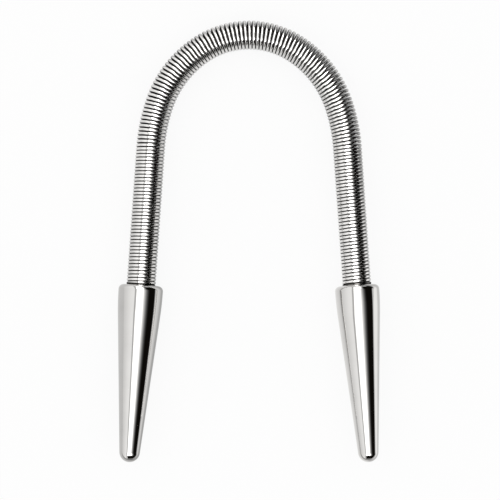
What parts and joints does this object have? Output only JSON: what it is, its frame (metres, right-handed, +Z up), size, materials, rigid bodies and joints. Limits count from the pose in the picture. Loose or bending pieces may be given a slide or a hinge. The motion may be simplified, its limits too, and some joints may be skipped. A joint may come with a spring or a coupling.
{
  "type": "facial hair removal spring",
  "caption": "Close-wound steel coil bent into an arch, with a polished tapered handle on each end, for rolling over the face to pull fine hair.",
  "frame": {"origin": "on the table under the middle of the part's bounding box", "axes": "+Y from the handles to the crown of the arch, +X to the right in the picture, +Z up from the table; the part lies on its crown and both rims"},
  "size_m": [0.0624, 0.1052, 0.0106],
  "materials": {
    "spring_steel": "bright drawn wire",
    "polished_metal": "mirror polish"
  },
  "bodies": {
    "root": {"coil_spring": "spring_steel", "left_handle": "polished_metal", "right_handle": "polished_metal"}
  },
  "joints": []
}
